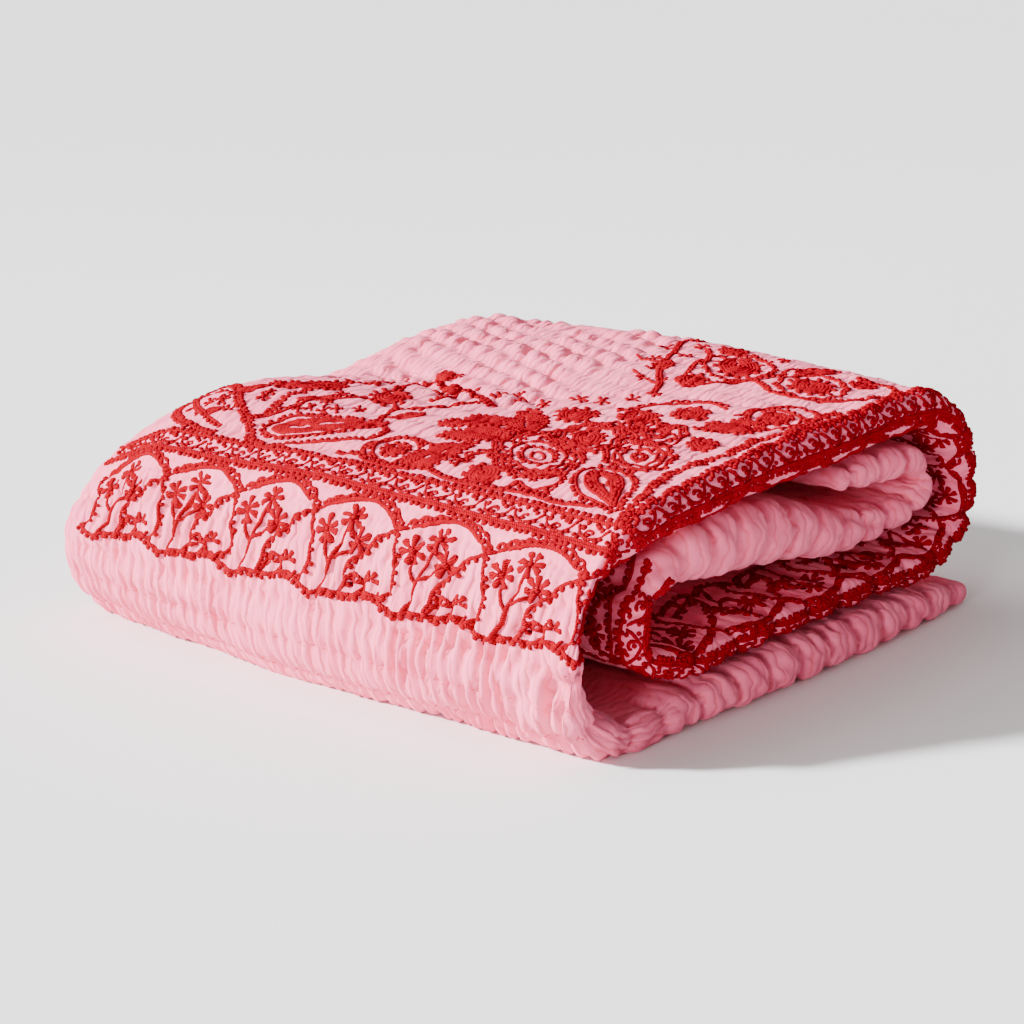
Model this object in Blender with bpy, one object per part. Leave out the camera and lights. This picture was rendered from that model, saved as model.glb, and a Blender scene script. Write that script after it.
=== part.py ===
"""A quilted bedspread, folded and lying on the floor.

The bedspread is folded in four across its width, which makes one soft layer of four plies, and that
layer is turned over on itself into a loose stack. LAYER follows its middle line from the loose end on
the floor at the right, along the floor, up round the left side, over the top, down round the right side,
back along the inside, up round an inner fold and out to a turned-back tip. Seen along +Y the open ends
of the folds face the viewer. The origin is on the floor under the middle of the stack, +Z is up.
"""

import bmesh
import bpy
import numpy as np

MM = 0.001

CLOTH_COLOUR = (0.79, 0.32, 0.40, 1.0)
CLOTH_ROUGHNESS = 0.85

# The middle of the stack before it is moved over the origin.
CENTRE_X, CENTRE_Y = -0.0013, -0.0053

# Where along Y the four heights of LAYER hold, and its three thicknesses: front, middle and back.
FRONT_Y, MIDDLE_Y, REAR_Y, BACK_Y = -0.30, 0.0, 0.19, 0.30

# The layer's middle line, one row for each run or turn, in millimetres. Columns: name; x; height at the
# front, middle, rear and back; half thickness at the front, middle and back; y of the front and back
# edge; how far the layer's inner side is tucked in at the front; how far x shifts at the back.
LAYER = (
    ("loose_end", 287, 10, 11, 11, 10, 11, 12, 11, -294, 288, 0, 0),
    ("floor_right", 222, 16, 15, 15, 15, 16, 18, 18, -303, 296, 0, 0),
    ("floor_middle_right", 110, 20, 15, 14, 15, 20, 20, 18, -309, 299, 0, 0),
    ("floor_middle", -50, 20, 15, 14, 15, 20, 20, 18, -311, 300, 0, 0),
    ("floor_left", -147, 17, 14, 14, 15, 17, 19, 18, -303, 300, 0, 10),
    ("left_low", -240, 19, 19, 19, 17, 19, 22, 19, -294, 300, 0, 20),
    ("left_belly", -265, 47, 45, 45, 44, 21, 22, 19, -298, 301, 25, 20),
    ("left_middle", -268, 89, 90, 88, 80, 17, 18, 18, -299, 300, 45, 16),
    ("left_shoulder", -251, 128, 133, 129, 102, 17, 18, 17, -296, 299, 40, 15),
    ("left_corner", -233, 151, 155, 149, 118, 17, 19, 18, -296, 297, 22, 13),
    ("top_left", -203, 168, 165, 164, 131, 18, 19, 18, -297, 294, 8, 8),
    ("top_left_middle", -130, 181, 175, 182, 149, 18, 22, 21, -298, 291, 0, 0),
    ("top_dip", -62, 187, 178, 177, 149, 19, 23, 21, -298, 288, 0, 0),
    ("top_middle", 5, 190, 182, 167, 145, 19, 23, 21, -298, 288, 0, 0),
    ("top_crown", 80, 191, 194, 185, 147, 19, 23, 22, -297, 288, 0, 0),
    ("top_right", 154, 194, 200, 192, 163, 19, 20, 20, -295, 290, 0, 0),
    ("right_shoulder", 217, 188, 199, 192, 170, 17, 18, 18, -296, 292, 0, 0),
    ("right_upper", 254, 159, 167, 162, 149, 16, 18, 17, -298, 293, 0, 0),
    ("right_middle", 270, 120, 121, 119, 114, 16, 17, 17, -298, 293, 0, 0),
    ("right_lower", 264, 83, 84, 84, 82, 14, 16, 16, -298, 292, 0, 0),
    ("inner_right", 230, 62, 62, 62, 62, 14, 15, 15, -297, 290, 0, 0),
    ("inner_middle", 100, 57, 55, 53, 53, 13, 16, 16, -298, 288, 0, 0),
    ("inner_left", -70, 57, 55, 52, 52, 13, 16, 16, -298, 287, 0, 0),
    ("inner_fold_low", -152, 55, 55, 54, 54, 13, 14, 14, -293, 286, 0, 0),
    ("inner_fold", -197, 85, 86, 84, 72, 11, 12, 7, -288, 284, 0, 0),
    ("inner_fold_high", -164, 128, 116, 112, 88, 17, 17, 11, -288, 280, 0, 0),
    ("roll_left", -98, 134, 114, 112, 86, 27, 30, 13, -291, 279, 0, 0),
    ("roll_middle", 0, 125, 113, 105, 85, 28, 33, 13, -291, 278, 0, 0),
    ("roll_right", 90, 106, 103, 98, 84, 20, 25, 13, -288, 277, 0, 0),
    ("roll_neck", 158, 103, 100, 96, 82, 14, 16, 12, -285, 276, 0, 0),
    ("roll_turn_low", 202, 108, 107, 103, 84, 14, 14, 11, -286, 275, 0, 0),
    ("roll_turn", 217, 124, 126, 120, 97, 11, 12, 8, -287, 275, 0, 0),
    ("roll_turn_high", 205, 142, 145, 140, 110, 14, 14, 11, -286, 275, 0, 0),
    ("roll_return", 160, 149, 156, 151, 113, 16, 14, 11, -286, 275, 0, 0),
    ("tip", 86, 148, 154, 147, 112, 13, 12, 10, -280, 274, 0, 0),
)
COLUMNS = (
    ("x", "front", "middle", "rear", "back")
    + ("thick_front", "thick_middle", "thick_back", "y_front", "y_back", "tuck", "shift")
)
HEIGHTS = ("front", "middle", "rear", "back")
THICKNESSES = ("thick_front", "thick_middle", "thick_back")

# Rows of running stitch cross the layer along Y: from each named place on, their spacing and the depth
# of the groove that each draws in.
ROWS = (
    ("loose_end", 0.042, 0.0040),
    ("left_low", 0.025, 0.0012),
    ("right_shoulder", 0.030, 0.0020),
    ("inner_right", 0.050, 0.0025),
    ("inner_fold", 0.038, 0.0045),
)
PUFF_ROUNDNESS = 0.6

# The rounded loose ends: their length as a share of the half thickness there, and their sections.
END_LENGTH = 1.5
END_SECTIONS = 3

# Lines of points: between two stitch rows, along each flat side, and round the front and back edges.
LINES_IN_ROW = (0.0, 0.3, 0.7)
SIDE_LINES = 8
EDGE_LINES = 5


def layer_columns():
    """LAYER's columns in metres, by name, and the distance of each row along the middle line."""
    numbers = np.array([row[1:] for row in LAYER], float) * MM
    columns = dict(zip(COLUMNS, numbers.T))
    steps = np.hypot(np.diff(columns["x"]), np.diff(columns["middle"]))
    return columns, np.concatenate([[0.0], np.cumsum(steps)])


def knot_slopes(knots, values):
    """The slope of values at each knot, from the knots before and after it."""
    chords = np.diff(values) / np.diff(knots)
    before, after = np.diff(knots)[:-1], np.diff(knots)[1:]
    inner = (chords[:-1] * after + chords[1:] * before) / (before + after)
    return np.concatenate([[chords[0]], inner, [chords[-1]]])


def layer_splines(s):
    """Every column of LAYER and its slope at the distances in s. The slopes are evened out so that the
    middle line keeps the same pace through its turns, which makes them round."""
    columns, knots = layer_columns()
    pace = np.hypot(knot_slopes(knots, columns["x"]), knot_slopes(knots, columns["middle"]))
    slopes = {name: knot_slopes(knots, values) / pace for name, values in columns.items()}
    return {name: spline(knots, columns[name], slopes[name], s) for name in COLUMNS}


def spline(knots, values, slopes, at):
    """A smooth curve through values at knots, and its slope, at the distances in at."""
    i = np.clip(np.searchsorted(knots, at) - 1, 0, len(knots) - 2)
    span = knots[i + 1] - knots[i]
    t = (at - knots[i]) / span
    value = (
        (2 * t**3 - 3 * t**2 + 1) * values[i]
        + (t**3 - 2 * t**2 + t) * span * slopes[i]
        + (3 * t**2 - 2 * t**3) * values[i + 1]
        + (t**3 - t**2) * span * slopes[i + 1]
    )
    slope = (
        (6 * t**2 - 6 * t) * values[i] / span
        + (3 * t**2 - 4 * t + 1) * slopes[i]
        + (6 * t - 6 * t**2) * values[i + 1] / span
        + (3 * t**2 - 2 * t) * slopes[i + 1]
    )
    return value, slope


def stitch_rows(names, knots):
    """Where the rows of running stitch lie along the middle line, and how deep each draws in."""
    starts = [knots[names.index(name)] for name, _, _ in ROWS]
    rows, depths = [0.0], [ROWS[0][2]]
    while rows[-1] < knots[-1]:
        _, spacing, depth = ROWS[np.searchsorted(starts, rows[-1], side="right") - 1]
        rows.append(rows[-1] + spacing)
        depths.append(depth)
    return np.array(rows), np.array(depths)


def groove(rows, depths, at):
    """How far the stitching draws the surface in at a distance along the middle line."""
    i = np.clip(np.searchsorted(rows, at, side="right") - 1, 0, len(rows) - 2)
    share = (at - rows[i]) / (rows[i + 1] - rows[i])
    return depths[i + 1] * (1 - np.sin(np.pi * np.clip(share, 0, 1)) ** PUFF_ROUNDNESS)


def weights_at(y, stations):
    """The share of each station in a value at y. The shares add up to 1."""
    shares = [np.zeros_like(y) for _ in stations]
    for i, (low, high) in enumerate(zip(stations, stations[1:])):
        t = np.clip((y - low) / (high - low), 0, 1)
        inside = (y >= low if i else y > -np.inf) & (y < high if i < len(stations) - 2 else y < np.inf)
        rise = t**2 * (3 - 2 * t)
        shares[i] += np.where(inside, 1 - rise, 0)
        shares[i + 1] += np.where(inside, rise, 0)
    return shares


def blended(at, names, order, shares):
    """The named columns of LAYER, or their slopes with order 1, blended along Y by shares."""
    return sum(at[name][order][:, None] * share for name, share in zip(names, shares))


def section_lines():
    """One line of points for each place round the layer's section: share of the way from front to back,
    direction along Y, and direction across the layer (1 on the outer side, -1 on the inner side)."""
    along = np.linspace(0, 1, SIDE_LINES)
    turn = np.linspace(0, np.pi, EDGE_LINES + 2)[1:-1]
    outer = [(share, 0.0, 1.0) for share in along[::-1]]
    front = [(0.0, -np.sin(angle), np.cos(angle)) for angle in turn]
    inner = [(share, 0.0, -1.0) for share in along]
    back = [(1.0, np.sin(angle), -np.cos(angle)) for angle in turn]
    return np.array(outer + front + inner + back).T


def layer_points(s, thinning):
    """Points of the layer's surface, one ring for each distance in s. Thinning is the share of the
    thickness that is left there, less than 1 only at the rounded loose ends."""
    _, knots = layer_columns()
    rows, depths = stitch_rows([row[0] for row in LAYER], knots)
    at = layer_splines(s)
    share, along, across = section_lines()
    y_front, y_back, tuck = (at[name][0][:, None] for name in ("y_front", "y_back", "tuck"))
    thickness_y = (FRONT_Y, MIDDLE_Y, BACK_Y)
    edge = blended(at, THICKNESSES, 0, weights_at(y_front + share * (y_back - y_front), thickness_y))
    y = y_front + edge + share * (y_back - y_front - 2 * edge)
    half = blended(at, THICKNESSES, 0, weights_at(y, thickness_y)) - groove(rows, depths, s)[:, None]
    half = half * thinning[:, None]
    y = y + half * along
    shares = weights_at(y, (FRONT_Y, MIDDLE_Y, REAR_Y, BACK_Y))
    rise = blended(at, HEIGHTS, 1, shares)
    run = at["x"][1][:, None]
    size = np.hypot(run, rise)
    x = at["x"][0][:, None] - rise / size * half * across
    x = x + at["shift"][0][:, None] * np.clip(y / BACK_Y, 0, 1) ** 2
    z = blended(at, HEIGHTS, 0, shares) + run / size * half * across
    y = y + tuck * (1 - across) / 2 * (1 - share) ** 2
    return np.stack([x - CENTRE_X, y - CENTRE_Y, np.maximum(z, 0.0)], axis=2)


def ring_places():
    """The distances of the rings along the middle line, and the thickness left at each."""
    columns, knots = layer_columns()
    rows, _ = stitch_rows([row[0] for row in LAYER], knots)
    lines = np.concatenate([rows[:-1] + share * np.diff(rows) for share in LINES_IN_ROW])
    angles = np.linspace(0, np.pi / 2, END_SECTIONS + 1)[1:]
    first = END_LENGTH * columns["thick_front"][0]
    last = END_LENGTH * columns["thick_front"][-1]
    inside = (lines > first + 0.004) & (lines < knots[-1] - last - 0.004)
    start = first * (1 - np.sin(angles))
    end = knots[-1] - last * (1 - np.sin(angles))
    s = np.concatenate([start, [first], lines[inside], [knots[-1] - last], end])
    left = np.concatenate([np.cos(angles), [1.0], np.ones(inside.sum()), [1.0], np.cos(angles)])
    order = np.argsort(s)
    return s[order], np.maximum(left[order], 0.12)


def build_quilt(collection):
    """Lofts the rings into one closed solid."""
    s, thinning = ring_places()
    points = layer_points(s, thinning)
    mesh = bpy.data.meshes.new("bedspread_quilt")
    bm = bmesh.new()
    rings = [[bm.verts.new(point) for point in ring] for ring in points]
    count = len(rings[0])
    for ring, following in zip(rings, rings[1:]):
        for i in range(count):
            j = (i + 1) % count
            bm.faces.new((ring[i], following[i], following[j], ring[j]))
    bm.faces.new(rings[0])
    bm.faces.new(rings[-1][::-1])
    bmesh.ops.recalc_face_normals(bm, faces=bm.faces)
    bmesh.ops.triangulate(bm, faces=bm.faces)
    bm.to_mesh(mesh)
    bm.free()
    mesh.shade_smooth()
    quilt = bpy.data.objects.new("bedspread_quilt", mesh)
    collection.objects.link(quilt)
    return quilt


def cloth_material():
    """Pink cotton voile."""
    material = bpy.data.materials.new("pink_cotton")
    material.use_nodes = True
    shader = material.node_tree.nodes["Principled BSDF"]
    shader.inputs["Base Color"].default_value = CLOTH_COLOUR
    shader.inputs["Roughness"].default_value = CLOTH_ROUGHNESS
    shader.inputs["Metallic"].default_value = 0.0
    return material


def main():
    for obj in list(bpy.data.objects):
        bpy.data.objects.remove(obj)
    collection = bpy.data.collections.new("bedspread")
    bpy.context.scene.collection.children.link(collection)
    quilt = build_quilt(collection)
    quilt.data.materials.append(cloth_material())


main()
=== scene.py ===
"""The looks of the folded bedspread: pink cotton voile quilted in rows, with red wool embroidery.

The cloth is one closed mesh that follows the same middle line as the CAD solid, with puckers and stitch
dimples in its surface: s runs along that line. The embroidery is charted on the cloth in millimetres: u
runs along the outer side of the layer, from the lower line of the left border up over the top, and v runs
round the layer's edge, from the front tip backwards, above 0 on the outer side and below 0 on the inner.
"""

import math

import bpy
import numpy as np
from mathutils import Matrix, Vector


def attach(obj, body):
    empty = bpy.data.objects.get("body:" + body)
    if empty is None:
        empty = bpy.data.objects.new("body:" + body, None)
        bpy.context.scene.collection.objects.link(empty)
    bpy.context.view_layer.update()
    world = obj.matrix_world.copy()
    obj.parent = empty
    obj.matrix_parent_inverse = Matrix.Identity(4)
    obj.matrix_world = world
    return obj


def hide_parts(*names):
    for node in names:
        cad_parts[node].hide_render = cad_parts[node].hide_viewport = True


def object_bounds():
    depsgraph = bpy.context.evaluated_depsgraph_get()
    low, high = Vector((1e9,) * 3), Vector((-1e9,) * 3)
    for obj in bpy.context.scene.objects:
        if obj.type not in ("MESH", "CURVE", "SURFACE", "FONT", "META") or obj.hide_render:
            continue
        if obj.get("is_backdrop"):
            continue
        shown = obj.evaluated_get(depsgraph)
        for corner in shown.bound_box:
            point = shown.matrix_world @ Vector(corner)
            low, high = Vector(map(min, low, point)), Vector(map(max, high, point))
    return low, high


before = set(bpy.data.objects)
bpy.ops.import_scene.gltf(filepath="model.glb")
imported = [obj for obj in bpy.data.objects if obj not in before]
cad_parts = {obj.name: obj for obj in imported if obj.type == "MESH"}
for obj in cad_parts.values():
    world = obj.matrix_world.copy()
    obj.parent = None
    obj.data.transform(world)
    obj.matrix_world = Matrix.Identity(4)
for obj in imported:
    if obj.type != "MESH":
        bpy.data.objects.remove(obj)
cad_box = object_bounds()

MM = 0.001
CENTRE_X, CENTRE_Y = -0.0013, -0.0053
FRONT_Y, MIDDLE_Y, REAR_Y, BACK_Y = -0.30, 0.0, 0.19, 0.30

# The layer's middle line, as in the solid, in millimetres. Columns: name; x; height at the front, middle,
# rear and back; half thickness at the front, middle and back; y of the front and back edge; how far the
# inner side is tucked in at the front; how far x shifts at the back.
LAYER = (
    ("loose_end", 287, 10, 11, 11, 10, 11, 12, 11, -294, 288, 0, 0),
    ("floor_right", 222, 16, 15, 15, 15, 16, 18, 18, -303, 296, 0, 0),
    ("floor_middle_right", 110, 20, 15, 14, 15, 20, 20, 18, -309, 299, 0, 0),
    ("floor_middle", -50, 20, 15, 14, 15, 20, 20, 18, -311, 300, 0, 0),
    ("floor_left", -147, 17, 14, 14, 15, 17, 19, 18, -303, 300, 0, 10),
    ("left_low", -240, 19, 19, 19, 17, 19, 22, 19, -294, 300, 0, 20),
    ("left_belly", -265, 47, 45, 45, 44, 21, 22, 19, -298, 301, 25, 20),
    ("left_middle", -268, 89, 90, 88, 80, 17, 18, 18, -299, 300, 45, 16),
    ("left_shoulder", -251, 128, 133, 129, 102, 17, 18, 17, -296, 299, 40, 15),
    ("left_corner", -233, 151, 155, 149, 118, 17, 19, 18, -296, 297, 22, 13),
    ("top_left", -203, 168, 165, 164, 131, 18, 19, 18, -297, 294, 8, 8),
    ("top_left_middle", -130, 181, 175, 182, 149, 18, 22, 21, -298, 291, 0, 0),
    ("top_dip", -62, 187, 178, 177, 149, 19, 23, 21, -298, 288, 0, 0),
    ("top_middle", 5, 190, 182, 167, 145, 19, 23, 21, -298, 288, 0, 0),
    ("top_crown", 80, 191, 194, 185, 147, 19, 23, 22, -297, 288, 0, 0),
    ("top_right", 154, 194, 200, 192, 163, 19, 20, 20, -295, 290, 0, 0),
    ("right_shoulder", 217, 188, 199, 192, 170, 17, 18, 18, -296, 292, 0, 0),
    ("right_upper", 254, 159, 167, 162, 149, 16, 18, 17, -298, 293, 0, 0),
    ("right_middle", 270, 120, 121, 119, 114, 16, 17, 17, -298, 293, 0, 0),
    ("right_lower", 264, 83, 84, 84, 82, 14, 16, 16, -298, 292, 0, 0),
    ("inner_right", 230, 62, 62, 62, 62, 14, 15, 15, -297, 290, 0, 0),
    ("inner_middle", 100, 57, 55, 53, 53, 13, 16, 16, -298, 288, 0, 0),
    ("inner_left", -70, 57, 55, 52, 52, 13, 16, 16, -298, 287, 0, 0),
    ("inner_fold_low", -152, 55, 55, 54, 54, 13, 14, 14, -293, 286, 0, 0),
    ("inner_fold", -197, 85, 86, 84, 72, 11, 12, 7, -288, 284, 0, 0),
    ("inner_fold_high", -164, 128, 116, 112, 88, 17, 17, 11, -288, 280, 0, 0),
    ("roll_left", -98, 134, 114, 112, 86, 27, 30, 13, -291, 279, 0, 0),
    ("roll_middle", 0, 125, 113, 105, 85, 28, 33, 13, -291, 278, 0, 0),
    ("roll_right", 90, 106, 103, 98, 84, 20, 25, 13, -288, 277, 0, 0),
    ("roll_neck", 158, 103, 100, 96, 82, 14, 16, 12, -285, 276, 0, 0),
    ("roll_turn_low", 202, 108, 107, 103, 84, 14, 14, 11, -286, 275, 0, 0),
    ("roll_turn", 217, 124, 126, 120, 97, 11, 12, 8, -287, 275, 0, 0),
    ("roll_turn_high", 205, 142, 145, 140, 110, 14, 14, 11, -286, 275, 0, 0),
    ("roll_return", 160, 149, 156, 151, 113, 16, 14, 11, -286, 275, 0, 0),
    ("tip", 86, 148, 154, 147, 112, 13, 12, 10, -280, 274, 0, 0),
)
HEIGHTS, THICKNESSES = ("front", "middle", "rear", "back"), ("thick_front", "thick_middle", "thick_back")
COLUMNS = ("x",) + HEIGHTS + THICKNESSES + ("y_front", "y_back", "tuck", "shift")

# Rows of running stitch: from each named place on, their spacing and the depth they draw in.
ROWS = (
    ("loose_end", 0.042, 0.0040),
    ("left_low", 0.025, 0.0012),
    ("right_shoulder", 0.030, 0.0020),
    ("inner_right", 0.050, 0.0025),
    ("inner_fold", 0.038, 0.0045),
)
PUFF_ROUNDNESS = 0.6
END_LENGTH = 1.5


# The layer's surface.

def knot_slopes(knots, values):
    chords = np.diff(values) / np.diff(knots)
    before, after = np.diff(knots)[:-1], np.diff(knots)[1:]
    inner = (chords[:-1] * after + chords[1:] * before) / (before + after)
    return np.concatenate([[chords[0]], inner, [chords[-1]]])


def layer_table():
    """The knots along the middle line, and for each column its values and slopes there."""
    numbers = np.array([row[1:] for row in LAYER], float) * MM
    columns = dict(zip(COLUMNS, numbers.T))
    steps = np.hypot(np.diff(columns["x"]), np.diff(columns["middle"]))
    knots = np.concatenate([[0.0], np.cumsum(steps)])
    pace = np.hypot(knot_slopes(knots, columns["x"]), knot_slopes(knots, columns["middle"]))
    return knots, {name: (values, knot_slopes(knots, values) / pace) for name, values in columns.items()}


KNOTS, TABLE = layer_table()
PLACE = {row[0]: knot for row, knot in zip(LAYER, KNOTS)}
LENGTH = KNOTS[-1]


def spline(name, at):
    """A column of LAYER and its slope at distances along the middle line."""
    values, slopes = TABLE[name]
    i = np.clip(np.searchsorted(KNOTS, at) - 1, 0, len(KNOTS) - 2)
    span = KNOTS[i + 1] - KNOTS[i]
    t = (at - KNOTS[i]) / span
    rise, start, end = values[i + 1] - values[i], slopes[i], slopes[i + 1]
    value = values[i] + t**2 * (3 - 2 * t) * rise + t * (1 - t) * span * ((1 - t) * start - t * end)
    return value, 6 * t * (1 - t) * rise / span + (3 * t - 1) * (t - 1) * start + t * (3 * t - 2) * end


def shares_at(y, stations):
    """The share of each station in a value at y."""
    shares = [np.zeros_like(y) for _ in stations]
    for i, (low, high) in enumerate(zip(stations, stations[1:])):
        t = np.clip((y - low) / (high - low), 0, 1)
        first, last = i == 0, i == len(stations) - 2
        inside = ((y >= low) | first) & ((y < high) | last)
        rise = t**2 * (3 - 2 * t)
        shares[i] += np.where(inside, 1 - rise, 0)
        shares[i + 1] += np.where(inside, rise, 0)
    return shares


def across_y(at, names, order, y, stations):
    return sum(at[name][order] * share for name, share in zip(names, shares_at(y, stations)))


def thickness(at, y):
    """Half the layer's thickness at y."""
    return across_y(at, THICKNESSES, 0, y, (FRONT_Y, MIDDLE_Y, BACK_Y))


def stitch_rows():
    starts = [PLACE[name] for name, _, _ in ROWS]
    rows, depths = [0.0], [ROWS[0][2]]
    while rows[-1] < LENGTH:
        _, spacing, depth = ROWS[np.searchsorted(starts, rows[-1], side="right") - 1]
        rows.append(rows[-1] + spacing)
        depths.append(depth)
    return np.array(rows), np.array(depths)


STITCH_ROWS, ROW_DEPTHS = stitch_rows()


def row_share(s):
    """The number of the row of stitch before s, the gap to the next, and how far s is across that gap."""
    i = np.clip(np.searchsorted(STITCH_ROWS, s, side="right") - 1, 0, len(STITCH_ROWS) - 2)
    gap = STITCH_ROWS[i + 1] - STITCH_ROWS[i]
    return i, gap, np.clip((s - STITCH_ROWS[i]) / gap, 0, 1)


def groove(s):
    """How far the stitching draws the surface in."""
    i, _, share = row_share(s)
    return ROW_DEPTHS[i + 1] * (1 - np.sin(np.pi * share) ** PUFF_ROUNDNESS)


def lumps(s, v, size_s, size_v, seed):
    """Smooth unevenness from -1 to 1, with lumps of about the given sizes."""
    lattice = np.random.default_rng(seed).uniform(-1, 1, (64, 64))
    a, b = s / size_s + 20.3, v / size_v + 20.7
    i, j = np.floor(a).astype(int), np.floor(b).astype(int)
    p, q = a - i, b - j
    p, q = p * p * (3 - 2 * p), q * q * (3 - 2 * q)
    corner = lambda m, n: lattice[(i + m) % 64, (j + n) % 64]
    low = corner(0, 0) * (1 - q) + corner(0, 1) * q
    high = corner(1, 0) * (1 - q) + corner(1, 1) * q
    return low * (1 - p) + high * p


def layered(s, v, rows):
    """The sum of several kinds of lumps."""
    return sum(amount * lumps(s, v, size_s, size_v, seed) for size_s, size_v, seed, amount in rows)


def bump(x, low, high, soft):
    """1 between low and high, fading to 0 over soft on either side."""
    rise = np.clip((x - low) / soft + 1, 0, 1)
    fall = np.clip((high - x) / soft + 1, 0, 1)
    return rise * rise * (3 - 2 * rise) * fall * fall * (3 - 2 * fall)


# Lumps, in metres: size along s and v, seed and amount. WARP and DRIFT bend the puckers out of line,
# UNEVEN and PATCHY change their depth from place to place, and UNEVENNESS is the cloth's own.
WARP = ((0.050, 0.040, 1, 1.0), (0.021, 0.018, 7, 0.6))
DRIFT = ((0.055, 0.034, 10, 0.014), (0.024, 0.015, 11, 0.005))
UNEVEN = ((0.028, 0.030, 2, 0.8),)
PATCHY = ((0.038, 0.024, 12, 1.1),)
UNEVENNESS = ((0.09, 0.08, 4, 0.0011), (0.024, 0.032, 5, 0.0008), (0.013, 0.010, 3, 0.0006))
# Ribs across the rows on the left face and the top, where they are deeper (from, to and how softly this
# fades), and the dimples that a row of stitch makes.
RIB_PERIOD, RIB_DEPTH, RIB_LEAN, RIB_WARP, TOP_RIBS = 0.0125, 0.0030, 0.16, 0.0055, 0.25
DEEPER_V, DEEPER_S = (0.0, 0.12, 0.14), (0.50, 0.60, 0.04)
ROW_DEPTH, LOOSE_ROW_DEPTH, ROW_REACH = 0.0030, 0.0034, 0.0042
# Gathers round the puffed front edges: fine ones, wide slanted ones between them, and how much calmer,
# wider and more slanted they are inside.
GATHER_PERIOD, GATHER_DEPTH, GATHER_REACH, GATHER_FAN = 0.0175, 0.0042, 0.060, 0.35
WIDE_PERIOD, WIDE_DEPTH, WIDE_SLANT = 0.034, 0.0040, 0.55
CALMER, ROLL_WIDER, ROLL_SLANT = 0.45, 0.6, 0.6
# The share of the thickness that puckers may take up.
PUCKER_LIMIT = 0.7
# The plain part of the top: where it starts, its slanted rows of stitch (change of s for a change of v,
# and their distance) and the cells between them (period, depth and how far each row is shifted).
PLAIN_FROM_S, PLAIN_FROM_V = 0.90, 0.29
SLANT, ROW_GAP = 0.46, 0.025
CELL_PERIOD, CELL_DEPTH, CELL_SHIFT = 0.026, 0.0062, 0.42
# Creases: seed, direction in radians and depth, then their width and length and how they stray.
CREASES = ((6, 0.35, 0.0008), (8, -0.5, 0.0007))
CREASE_WIDTH, CREASE_LENGTH, CREASE_STRAY = 0.013, 0.060, ((0.02, 0.02, 9, 0.15),)


def face_and_top(s):
    """1 on the left face, and 1 on the top, each fading to 0 elsewhere."""
    face = bump(s, PLACE["floor_left"] + 0.03, PLACE["left_shoulder"], 0.03)
    return face, bump(s, PLACE["top_left"], PLACE["right_shoulder"], 0.05)


def loose_share(s):
    """1 where the layer is loose and gathers round its edge, 0 on the left face and the top."""
    return 1 - np.clip(sum(face_and_top(s)), 0, 1)


# Single troughs and, below 0, ridges, in millimetres: s and v of both ends, half width and depth.
TROUGHS = (
    (572, 2, 612, 6, 13, -8.0), (589, 18, 584, 38, 6.5, 11.0), (602, 6, 603, 32, 8, -4.5),
    (583, 36, 549, 24, 4.5, 5.0), (578, 12, 548, 6, 4.5, 4.5), (587, 40, 606, 60, 5, 4.5),
    (580, 46, 548, 46, 5, 4.0),
    (584, 64, 548, 88, 6, 3.5), (576, 80, 540, 116, 7, 3.0), (572, 100, 530, 150, 7, 2.6),
    (562, 20, 540, 4, 7, 4.0), (562, 128, 522, 186, 7, 2.2), (628, 70, 578, 108, 7, 1.8),
    (480, 8, 452, -20, 7, 4.0), (440, 6, 418, -26, 7, 3.5), (690, 330, 640, 318, 8, 1.5),
    (1951, 30, 1998, -10, 6, 4.5), (1866, 30, 1892, -16, 6, 4.0), (1811, 20, 1825, -18, 5, 3.5),
    (2047, 22, 2093, 2, 7, 4.5), (2093, 2, 2134, -12, 7, 4.5), (2195, 4, 2142, 18, 6, 3.5),
    (1150, 20, 1110, 60, 9, 2.5), (1180, 30, 1150, 90, 9, 2.0), (740, 420, 800, 360, 14, 2.5),
)


def troughs(s, v):
    depth = np.zeros(np.broadcast(s, v).shape)
    for row in TROUGHS:
        s0, v0, s1, v1, width, drop_by = (value * MM for value in row)
        run_s, run_v = s1 - s0, v1 - v0
        t = np.clip(((s - s0) * run_s + (v - v0) * run_v) / (run_s**2 + run_v**2), 0, 1)
        far = (s - s0 - t * run_s) ** 2 + (v - v0 - t * run_v) ** 2
        depth += drop_by * np.exp(-far / width**2)
    return depth


def plain_share(s, v):
    """1 on the plain part of the top, 0 elsewhere."""
    return bump(v, PLAIN_FROM_V, 0.70, 0.05) * bump(s, PLAIN_FROM_S, PLACE["right_shoulder"], 0.06)


def ridges(phase):
    """1 in the valleys between rounded ridges, 0 on top of them."""
    return 1 - np.abs(np.sin(np.pi * phase))


def gathers(s, v, share):
    """Depth of the folds where the layer is loose."""
    drift = layered(s, v, DRIFT)
    fan = GATHER_FAN * (share - 0.5) * (np.abs(v) - 0.01) + drift
    rolled = bump(s, PLACE["inner_fold_high"], LENGTH, 0.06)
    run = s - PLACE["inner_fold"] + fan + ROLL_SLANT * v * rolled
    fine = ridges(run / (GATHER_PERIOD * (1 + ROLL_WIDER * rolled)))
    wide = ridges((s + WIDE_SLANT * v + 1.6 * drift) / WIDE_PERIOD)
    patchy = np.clip(0.42 + layered(s, v, PATCHY), 0, 1.4)
    folds = GATHER_DEPTH * fine**1.3 * patchy + WIDE_DEPTH * wide**1.6 * (1.0 - 0.6 * patchy)
    calm = 1 - CALMER * bump(s, PLACE["right_shoulder"], LENGTH, 0.05)
    reach = np.exp(-((v / GATHER_REACH) ** 4))
    return folds * calm * (0.25 + 0.75 * reach)


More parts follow.
